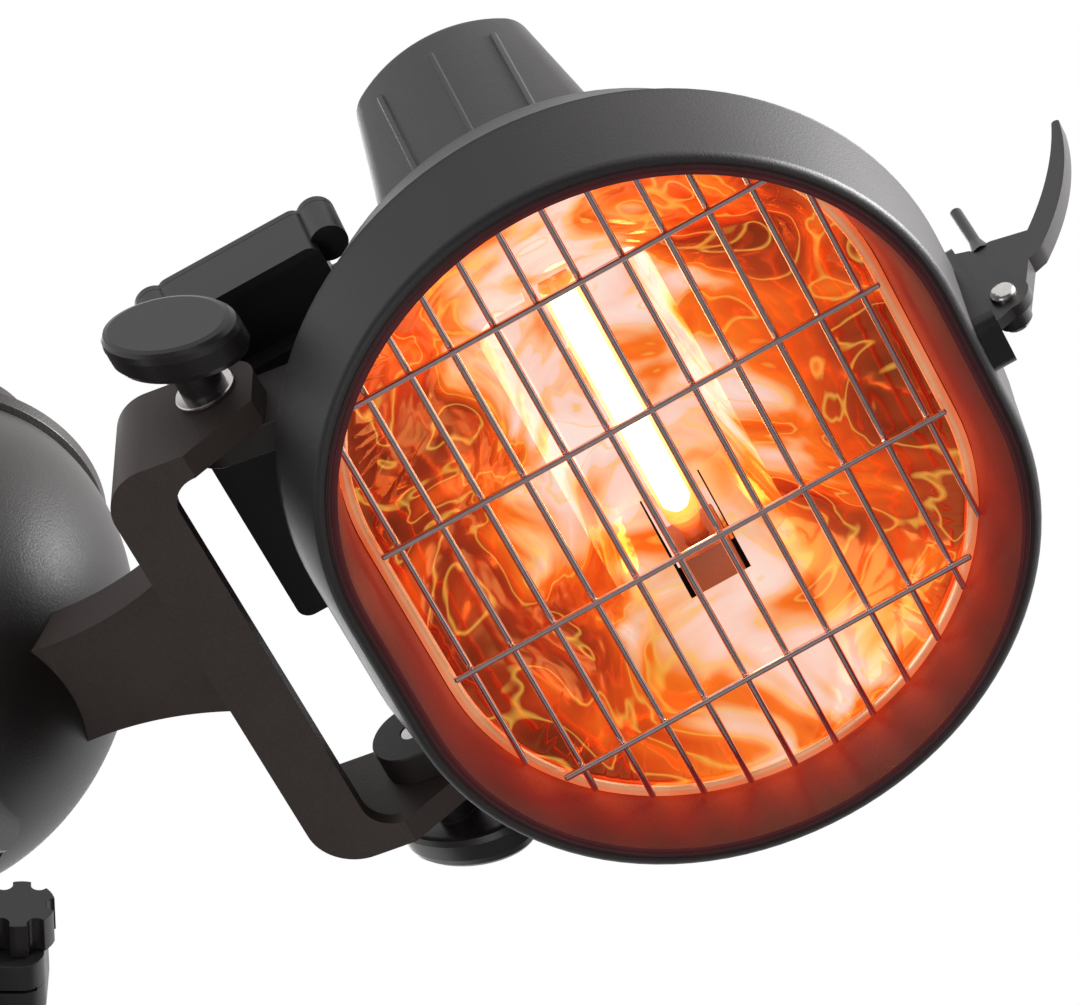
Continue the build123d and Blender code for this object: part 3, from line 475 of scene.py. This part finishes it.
for letter, place in head_places.items():
    work = bmesh.new()
    for i in range(long_wires):
        wire_u = (i - (long_wires - 1) / 2) * wire_pitch
        reach = bezel_straight + math.sqrt(ring_half**2 - wire_u**2) - wire_radius
        add_wire(work, reach, stand_along_y, Vector((head_centre_u + wire_u, 0, long_wire_z)))
    for j in range(cross_wires):
        wire_v = (j - (cross_wires - 1) / 2) * cross_pitch
        past = max(abs(wire_v) - bezel_straight, 0.0)
        reach = math.sqrt(ring_half**2 - past**2) - 2.5 * wire_radius
        add_wire(work, reach, stand_along_x, Vector((head_centre_u, wire_v, cross_wire_z)))
        for i in range(long_wires):
            wire_u = (i - (long_wires - 1) / 2) * wire_pitch
            if abs(wire_u) < reach:
                weld = Vector((head_centre_u + wire_u, wire_v, (long_wire_z + cross_wire_z) / 2))
                bmesh.ops.create_icosphere(
                    work, subdivisions=1, radius=weld_radius, matrix=Matrix.Translation(weld)
                )
    finish_piece(
        work, f"guard_wires_{letter}", f"head_{letter}", guard_chrome,
        [f"guard_{letter}"], place,
    )
    work = bmesh.new()
    ring_middle = ring_half - ring_width / 2
    ring_section = []
    for step in range(10):
        angle = 2 * math.pi * step / 10
        ring_section.append(
            (
                ring_middle + ring_width / 2 * math.cos(angle),
                guard_z + ring_thick / 2 * (1 + math.sin(angle)),
                bezel_straight,
            )
        )
    oval_ring(work, ring_section)
    finish_piece(work, f"guard_ring_{letter}", f"head_{letter}", ring_metal, [], place)


# Reflector: folded from polished gold-tinted sheet, with flat flanks, creased corners and a deep
# trough. The lamp's light and its reflections are painted on it as emission, from deep orange at the
# rim to a pale pink round the trough.
def from_node(node):
    """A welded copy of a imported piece, with its flat faces joined up."""
    work = bmesh.new()
    work.from_mesh(frame["nodes"][node].data)
    for layer in list(work.verts.layers.float_vector.values()):
        work.verts.layers.float_vector.remove(layer)
    bmesh.ops.remove_doubles(work, verts=work.verts, dist=0.000004)
    bmesh.ops.dissolve_limit(work, angle_limit=math.radians(0.6), verts=work.verts, edges=work.edges)
    return work


reflector_gold = bright_metal("reflector_gold", (0.55, 0.17, 0.04), 0.12, (60.0, 60.0, 60.0))
tree = reflector_gold.node_tree
shader = tree.nodes["Principled BSDF"]
in_head = add_node(tree, "ShaderNodeAttribute", {}, attribute_name="place").outputs["Vector"]
split = add_node(tree, "ShaderNodeSeparateXYZ", {0: in_head})
off_axis = calculate(tree, "ABSOLUTE", calculate(tree, "SUBTRACT", split.outputs[0], head_centre_u))
off_middle = calculate(tree, "ABSOLUTE", split.outputs[1])
swirl = add_node(
    tree,
    "ShaderNodeTexNoise",
    {"Vector": in_head, "Scale": 24.0, "Detail": 2.5, "Roughness": 0.5, "Distortion": 1.2},
)
# Painted lamp light and reflection: brightest near the lamp's axis, fading to the sides and the ends,
# broken up by swirls and thin bright curl lines.
side_painted_reflection = add_node(
    tree,
    "ShaderNodeMapRange",
    {"Value": off_axis, "From Min": 0.016, "From Max": 0.06, "To Min": 0.86, "To Max": 0.3},
)
end_reflection_fade = add_node(
    tree,
    "ShaderNodeMapRange",
    {"Value": off_middle, "From Min": 0.055, "From Max": 0.105, "To Min": 0.0, "To Max": 0.12},
)
painted_reflection = calculate(tree, "SUBTRACT", side_painted_reflection.outputs[0], end_reflection_fade.outputs[0])
painted_reflection = calculate(tree, "ADD", painted_reflection, calculate(tree, "MULTIPLY_ADD", swirl.outputs["Fac"], 1.7, -0.97))
curl = calculate(tree, "FRACT", calculate(tree, "MULTIPLY", swirl.outputs["Fac"], 7.0))
curl = calculate(tree, "ABSOLUTE", calculate(tree, "SUBTRACT", curl, 0.5))
curl_line = add_node(
    tree,
    "ShaderNodeMapRange",
    {"Value": curl, "From Min": 0.0, "From Max": 0.09, "To Min": 1.0, "To Max": 0.0},
)
painted_reflection_colour = ramp(
    tree,
    painted_reflection,
    [
        (0.0, (0.14, 0.006, 0.004)),
        (0.22, (0.36, 0.018, 0.006)),
        (0.40, (0.78, 0.07, 0.006)),
        (0.56, (0.98, 0.17, 0.012)),
        (0.66, (1.0, 0.46, 0.20)),
        (0.78, (1.0, 0.68, 0.58)),
        (1.0, (1.0, 0.84, 0.76)),
    ],
)
lined = add_node(
    tree,
    "ShaderNodeMix",
    {
        "Factor": calculate(tree, "MULTIPLY", curl_line.outputs[0], 0.6),
        "A": painted_reflection_colour,
        "B": (1.0, 0.56, 0.08, 1.0),
    },
    data_type="RGBA",
)
tree.links.new(lined.outputs["Result"], shader.inputs["Emission Color"])
shader.inputs["Emission Strength"].default_value = 0.85
crease = add_node(
    tree, "ShaderNodeBump", {"Height": swirl.outputs["Fac"], "Strength": 0.7, "Distance": 0.004}
)
tree.links.new(crease.outputs[0], shader.inputs["Normal"])

for letter, place in head_places.items():
    work = from_node(f"reflector_{letter}")
    work.transform(place.inverted())
    finish_piece(
        work, f"reflector_sheet_{letter}", f"head_{letter}", reflector_gold,
        [f"reflector_{letter}"], place,
    )

# Lamp: a quartz tube round a white-hot core, narrower at each end. The ends sit in ceramic
# holders behind the reflector's slots, whose lamp-lit reddish brown is painted into their base colour.
lamp_z = 0.012
lamp_radius = 0.0052
lamp_glass_half = 0.046
lamp_end_radius = 0.0034
lamp_half = 0.057
core_radius = 0.0026
core_half = 0.041

lamp_quartz = bpy.data.materials.new("lamp_quartz")
lamp_quartz.use_nodes = True
tree = lamp_quartz.node_tree
shader = tree.nodes["Principled BSDF"]
shader.inputs["Roughness"].default_value = 0.04
shader.inputs["IOR"].default_value = 1.46
shader.inputs["Transmission Weight"].default_value = 0.75
in_head = add_node(tree, "ShaderNodeAttribute", {}, attribute_name="place").outputs["Vector"]
head_v = add_node(tree, "ShaderNodeSeparateXYZ", {0: in_head}).outputs[1]
off_middle = calculate(tree, "ABSOLUTE", head_v)
fog = add_node(tree, "ShaderNodeTexNoise", {"Vector": in_head, "Scale": 120.0, "Detail": 2.0})
end_way = calculate(
    tree, "ADD", off_middle, calculate(tree, "MULTIPLY_ADD", fog.outputs["Fac"], 0.006, -0.003)
)
cool = add_node(tree, "ShaderNodeMapRange", {"Value": end_way, "From Min": 0.034, "From Max": 0.054})
quartz_light = ramp(
    tree,
    cool.outputs[0],
    [
        (0.0, (1.0, 0.52, 0.10)),
        (0.35, (1.0, 0.32, 0.03)),
        (0.65, (0.6, 0.07, 0.008)),
        (1.0, (0.08, 0.008, 0.003)),
    ],
)
tree.links.new(quartz_light, shader.inputs["Emission Color"])
shader.inputs["Emission Strength"].default_value = 0.8
quartz_tint = ramp(tree, cool.outputs[0], [(0.0, (1.0, 0.8, 0.5)), (1.0, (0.35, 0.1, 0.05))])
tree.links.new(quartz_tint, shader.inputs["Base Color"])

white_hot = bpy.data.materials.new("white_hot")
white_hot.use_nodes = True
tree = white_hot.node_tree
flicker = add_node(tree, "ShaderNodeTexNoise", {"Scale": 300.0, "Detail": 2.0})
core_light = ramp(tree, flicker.outputs["Fac"], [(0.3, (1.0, 0.78, 0.42)), (0.7, (1.0, 0.93, 0.78))])
tree.links.new(core_light, tree.nodes["Principled BSDF"].inputs["Emission Color"])
tree.nodes["Principled BSDF"].inputs["Emission Strength"].default_value = 7.0

# White ceramic, given a reddish-brown base colour as painted lamp light.
ceramic_white = coating(
    "ceramic_white", (0.5, 0.16, 0.08), 0.45, grain=900.0, height=0.00005, spread=0.08
)

for letter, place in head_places.items():
    work = bmesh.new()
    rings = [(lamp_end_radius * 0.9, -lamp_half), (lamp_end_radius, -lamp_half + 0.0006)]
    rings += [(lamp_end_radius, -lamp_glass_half - 0.002), (lamp_radius * 0.8, -lamp_glass_half)]
    rings += [(lamp_radius, -lamp_glass_half + 0.0025), (lamp_radius, lamp_glass_half - 0.0025)]
    rings += [(lamp_radius * 0.8, lamp_glass_half), (lamp_end_radius, lamp_glass_half + 0.002)]
    rings += [(lamp_end_radius, lamp_half - 0.0006), (lamp_end_radius * 0.9, lamp_half)]
    made = ring_stack(work, rings, segments=40)
    stand = Matrix.Translation((head_centre_u, 0, lamp_z)) @ stand_along_y
    bmesh.ops.transform(work, matrix=stand, verts=made)
    finish_piece(
        work, f"lamp_tube_{letter}", f"head_{letter}", lamp_quartz,
        [f"lamp_{letter}"], place,
    )
    work = bmesh.new()
    rings = [(core_radius * 0.5, -core_half), (core_radius, -core_half + 0.002)]
    rings += [(core_radius, core_half - 0.002), (core_radius * 0.5, core_half)]
    made = ring_stack(work, rings, segments=24)
    bmesh.ops.transform(work, matrix=stand, verts=made)
    finish_piece(work, f"lamp_core_{letter}", f"head_{letter}", white_hot, [], place)
    work = from_node(f"lamp_holders_{letter}")
    work.transform(place.inverted())
    round_edges(work, 0.0005, segments=2)
    finish_piece(
        work, f"lamp_sockets_{letter}", f"head_{letter}", ceramic_white,
        [f"lamp_holders_{letter}"], place,
    )


# Rear shell, rear cap, pivot lugs, hook bracket and junction box: castings and mouldings in the
# same charcoal coat, each with rounded edges where the mould leaves them.
def soften(node, body, material, width, segments=3):
    work = from_node(node)
    round_edges(work, width, segments)
    finish_piece(work, f"{node}_skin", body, material, [node])


box_paint = coating("box_paint", (0.024, 0.021, 0.022), 0.42, grain=2000.0, height=0.00006)
lug_paint = coating("lug_paint", (0.028, 0.019, 0.019), 0.48)
hook_paint = coating("hook_paint", (0.02, 0.017, 0.018), 0.36, grain=1800.0, height=0.00006)
for letter in head_places:
    body = f"head_{letter}"
    soften(f"rear_shell_{letter}", body, shell_paint, 0.0006)
    soften(f"rear_cap_{letter}", body, shell_paint, 0.0008)
    soften(f"pivot_lugs_{letter}", body, lug_paint, 0.0012)
    soften(f"junction_box_{letter}", body, box_paint, 0.0012)
    soften(f"box_lid_{letter}", body, box_paint, 0.0009)
    soften(f"hook_bracket_{letter}", body, hook_paint, 0.0007)

# Hook: a moulded claw that swings on the bracket's screw, with a peg that faces it.
# A parasol's rib lies between the two.
for letter in head_places:
    soften(f"hook_{letter}", f"hook_{letter}", hook_paint, 0.0013, 3)

# Clamping knobs: oval moulded grips on a neck, with a bright washer under them.
# The stud runs through the yoke's ear into the head's lug.
knob_outer_y = 0.099
knob_thick = 0.0115
knob_half_length = 0.0235
knob_half_width = 0.013
knob_turn = math.radians(46)
neck_start_y = 0.0743
neck_radius = 0.0065
washer_radius = 0.0088
washer_thick = 0.0012
stud_radius = 0.003
stud_inner_y = 0.0565

knob_plastic = coating("knob_plastic", (0.022, 0.018, 0.018), 0.3, grain=2200.0, height=0.00004)
screw_steel = bright_metal("screw_steel", (0.62, 0.6, 0.58), 0.22)

for letter, place in head_places.items():
    for name, side in (("upper", -1), ("lower", 1)):
        outward = Matrix.Rotation(-side * math.pi / 2, 4, "X")
        turned = Matrix.Rotation(knob_turn, 4, "Y")
        grip_base = knob_outer_y - knob_thick
        work = bmesh.new()
        grip = [(0.86, 0.0), (0.95, 0.0006), (1.0, 0.0024), (1.0, 0.0078), (0.975, 0.0098)]
        grip += [(0.92, 0.011), (0.84, 0.0115), (0.66, 0.0114), (0.5, 0.0108), (0.3, 0.0105)]
        rings = [(knob_half_length * share, grip_base + height) for share, height in grip]
        ring_stack(work, rings, segments=72, oval=knob_half_width / knob_half_length)
        neck = [(neck_radius, neck_start_y + washer_thick), (neck_radius * 0.92, grip_base - 0.0004)]
        neck += [(neck_radius * 1.05, grip_base + 0.0004)]
        ring_stack(work, neck, segments=40)
        work.transform(turned @ outward)
        finish_piece(
            work, f"knob_grip_{name}_{letter}", f"knob_{name}_{letter}", knob_plastic,
            [f"knob_{name}_{letter}"], place,
        )
        work = bmesh.new()
        washer = [(washer_radius - 0.0003, neck_start_y), (washer_radius, neck_start_y + 0.0003)]
        washer += [(washer_radius, neck_start_y + washer_thick - 0.0003)]
        washer += [(washer_radius - 0.0003, neck_start_y + washer_thick)]
        ring_stack(work, washer, segments=40)
        ring_stack(work, [(stud_radius, stud_inner_y), (stud_radius, neck_start_y)], segments=24)
        work.transform(outward)
        finish_piece(
            work, f"knob_stud_{name}_{letter}", f"knob_{name}_{letter}", screw_steel,
            [], place,
        )


# Screws: zinc-plated pan heads with a cross recess, in the box lid, the back of the shell, the
# hub cover and the hook's pivot.
def pan_screw(radius, height):
    """One pan head with a cross recess, standing on the origin and facing along Z."""
    work = bmesh.new()
    bmesh.ops.create_grid(work, x_segments=3, y_segments=3, size=radius * 0.5)
    faces = list(work.faces)
    rim = [edge for edge in work.edges if len(edge.link_faces) == 1]
    bmesh.ops.subdivide_edges(work, edges=rim, cuts=2)
    bmesh.ops.translate(work, vec=(0, 0, height), verts=work.verts)
    rim = [edge for edge in work.edges if len(edge.link_faces) == 1]
    for share, level in ((0.8, 0.9), (0.95, 0.66), (1.0, 0.4), (1.0, 0.0)):
        grown = bmesh.ops.extrude_edge_only(work, edges=rim)["geom"]
        for vert in [item for item in grown if isinstance(item, bmesh.types.BMVert)]:
            flat = vert.co.xy.normalized() * radius * share
            vert.co = (flat.x, flat.y, height * level)
        rim = [item for item in grown if isinstance(item, bmesh.types.BMEdge)]
    bmesh.ops.edgeloop_fill(work, edges=rim)
    slot_half = radius * 0.17
    cross = []
    for face in faces:
        middle = face.calc_center_median()
        if min(abs(middle.x), abs(middle.y)) < slot_half:
            cross.append(face)
    sunk = bmesh.ops.extrude_face_region(work, geom=cross)["geom"]
    floor_verts = [item for item in sunk if isinstance(item, bmesh.types.BMVert)]
    bmesh.ops.scale(work, vec=(0.8, 0.8, 1), verts=floor_verts)
    bmesh.ops.translate(work, vec=(0, 0, -height * 0.55), verts=floor_verts)
    bmesh.ops.recalc_face_normals(work, faces=work.faces)
    mesh = bpy.data.meshes.new("pan_screw")
    work.to_mesh(mesh)
    work.free()
    return mesh


def add_copy(work, mesh, place):
    count = len(work.verts)
    work.from_mesh(mesh)
    work.verts.ensure_lookup_table()
    bmesh.ops.transform(work, matrix=place, verts=work.verts[count:])


screw_radius = 0.0038
screw_height = 0.0024
lid_top_z = 0.047
lid_screw_spots = [(-0.003, -0.079), (0.048, -0.079), (-0.005, 0.012), (0.046, 0.012)]
back_z = 0.004
back_screw_u = 0.050
back_screw_v = 0.066
hook_pivot = Vector((0.2018, 0.0, -0.0455))
hook_head_y = -0.0063
hook_nut_y = 0.0029
hook_nut_thick = 0.0012
hook_pin_radius = 0.0025
screw_mesh = pan_screw(screw_radius, screw_height)

for letter, place in head_places.items():
    work = bmesh.new()
    for u, v in lid_screw_spots:
        add_copy(work, screw_mesh, Matrix.Translation((u, v, lid_top_z)))
    for way_u in (1, -1):
        for way_v in (1, -1):
            spot = (head_centre_u + way_u * back_screw_u, way_v * back_screw_v, back_z)
            add_copy(work, screw_mesh, Matrix.Translation(spot))
    head_place = Matrix.Translation(hook_pivot + Vector((0, hook_head_y, 0)))
    head_turn = stand_along_y.inverted() @ Matrix.Rotation(math.radians(20), 4, "Z")
    add_copy(work, screw_mesh, head_place @ head_turn)
    pin = ring_stack(
        work,
        [
            (hook_pin_radius, hook_head_y),
            (hook_pin_radius, hook_nut_y),
            (hook_pin_radius + 0.001, hook_nut_y + 0.00001),
            (hook_pin_radius + 0.001, hook_nut_y + hook_nut_thick),
        ],
        segments=24,
    )
    bmesh.ops.transform(work, matrix=Matrix.Translation(hook_pivot) @ stand_along_y, verts=pin)
    finish_piece(
        work, f"screws_{letter}", f"head_{letter}", screw_steel,
        [f"head_screws_{letter}"], place,
    )

# Yoke and arm: a cast fork carried by an arm that grows out of the hub, in a grey textured coat
# tinted brown as painted warm lamp light, with rounded edges all over.
# The brown tint of this grey coat is painted warm light from the heads.
cast_arm = coating("cast_arm", (0.078, 0.056, 0.05), 0.55, grain=1400.0, height=0.00014)
for letter in head_places:
    soften(f"yoke_{letter}", "mount", cast_arm, 0.0024, 4)
    soften(f"arm_{letter}", "mount", cast_arm, 0.0022, 4)

# Hub: a spun bowl with leaf-shaped tips that hug the pole, a cover with a collar on top, the
# sleeve that the pole runs through, and the terminal ring inside.
hub_paint = coating("hub_paint", (0.022, 0.018, 0.017), 0.42, grain=1400.0, height=0.00014)
inner_plastic = coating(
    "inner_plastic", (0.6, 0.57, 0.48), 0.5, grain=700.0, height=0.00005, spread=0.06
)
sleeve_steel = coating("sleeve_steel", (0.04, 0.04, 0.042), 0.35, grain=900.0, height=0.00004)
soften("hub_bowl", "mount", hub_paint, 0.0009)
soften("hub_cover", "mount", hub_paint, 0.0008)
soften("terminal_ring", "mount", inner_plastic, 0.0006, 2)
soften("pole_sleeve", "mount", sleeve_steel, 0.0004, 2)
cover_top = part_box("cover_screws")[1].z
cover_screw_ring = 0.037
cover_screw_count = 3
cover_screw_start = math.radians(60)
work = bmesh.new()
for k in range(cover_screw_count):
    angle = cover_screw_start + 2 * math.pi * k / cover_screw_count
    spot = Vector((math.cos(angle), math.sin(angle), 0)) * cover_screw_ring
    spot.z = cover_top - screw_height
    add_copy(work, screw_mesh, Matrix.Translation(spot))
finish_piece(work, "cover_screw_heads", "mount", screw_steel, ["cover_screws"])
bpy.data.meshes.remove(screw_mesh)

# Pole clamp: two black moulded half rings with lugs, drawn together by two fluted knob screws.
clamp_plastic = coating("clamp_plastic", (0.03, 0.03, 0.032), 0.4, grain=1600.0, height=0.00006)
soften("clamp_base", "mount", clamp_plastic, 0.0016, 3)
soften("clamp_jaw", "mount", clamp_plastic, 0.0016, 3)
for side in ("left", "right"):
    soften(f"clamp_knob_{side}", f"clamp_knob_{side}", knob_plastic, 0.0007, 2)
